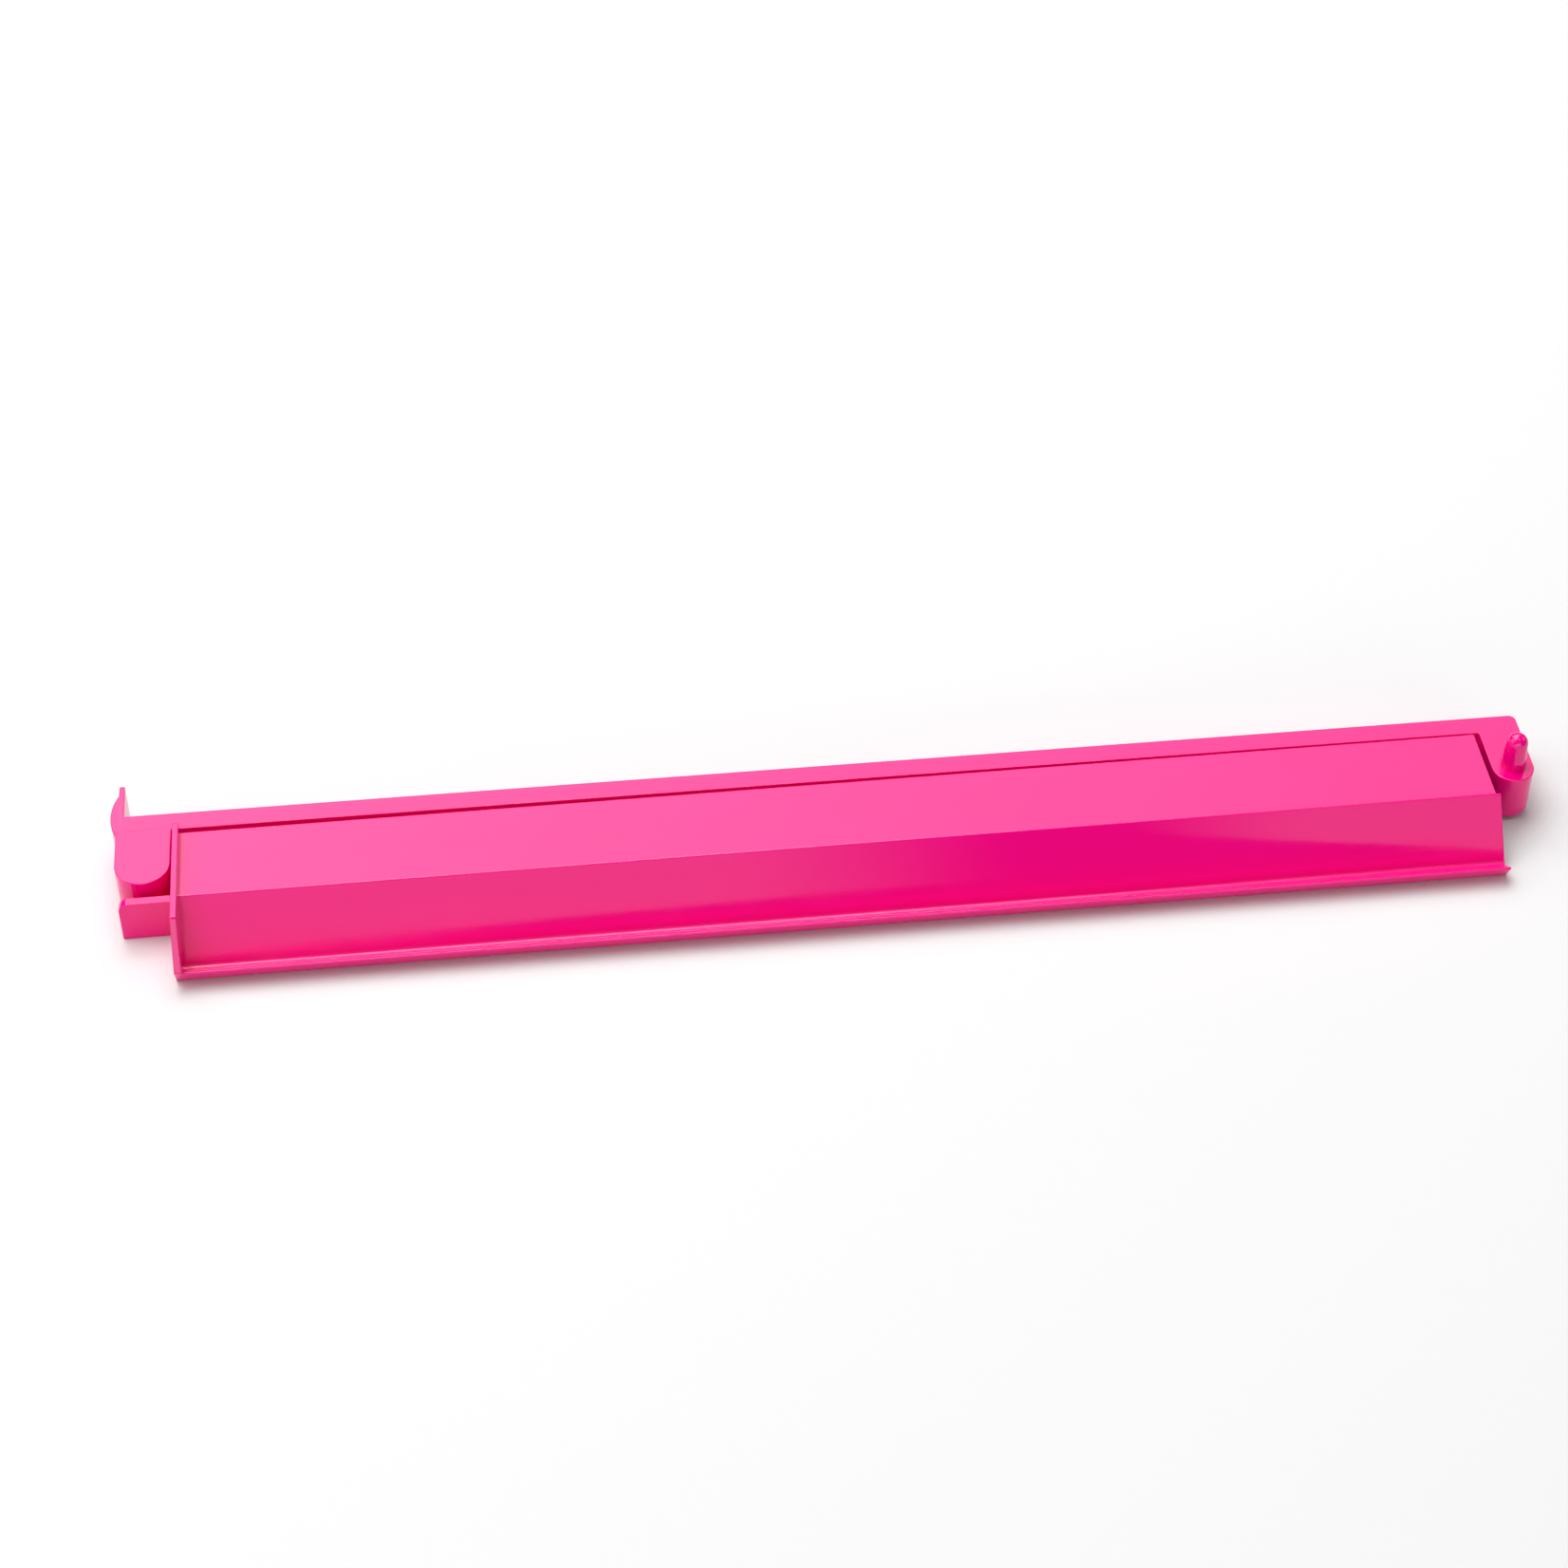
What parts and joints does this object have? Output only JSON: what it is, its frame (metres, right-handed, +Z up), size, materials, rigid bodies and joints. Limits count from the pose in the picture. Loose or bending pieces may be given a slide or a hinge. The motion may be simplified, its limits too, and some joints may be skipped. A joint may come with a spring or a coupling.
{
  "type": "sectioning clip",
  "caption": "Long moulded hair sectioning clip: a channel base with a gutter lip, and a hinged clamping arm with a thumb tab, hook and finger peg.",
  "frame": {"origin": "on the hinge axis, in the plane the clip rests on", "axes": "+X along the clip from the hinge to the hook, +Y from the clamp wall to the arm, +Z up"},
  "size_m": [0.22, 0.0359, 0.0147],
  "materials": {
    "pink_gloss_base": "glossy moulded",
    "pink_gloss_arm": "glossy moulded"
  },
  "bodies": {
    "base": {"base_channel": "pink_gloss_base"},
    "arm": {"clamp_arm": "pink_gloss_arm"}
  },
  "joints": [
    {"name": "arm_hinge", "type": "hinge", "parent": "base", "child": "arm", "pos_m": [0, 0, 0.004], "axis": [0, 0, 1], "range_deg": [0, 102]}
  ]
}
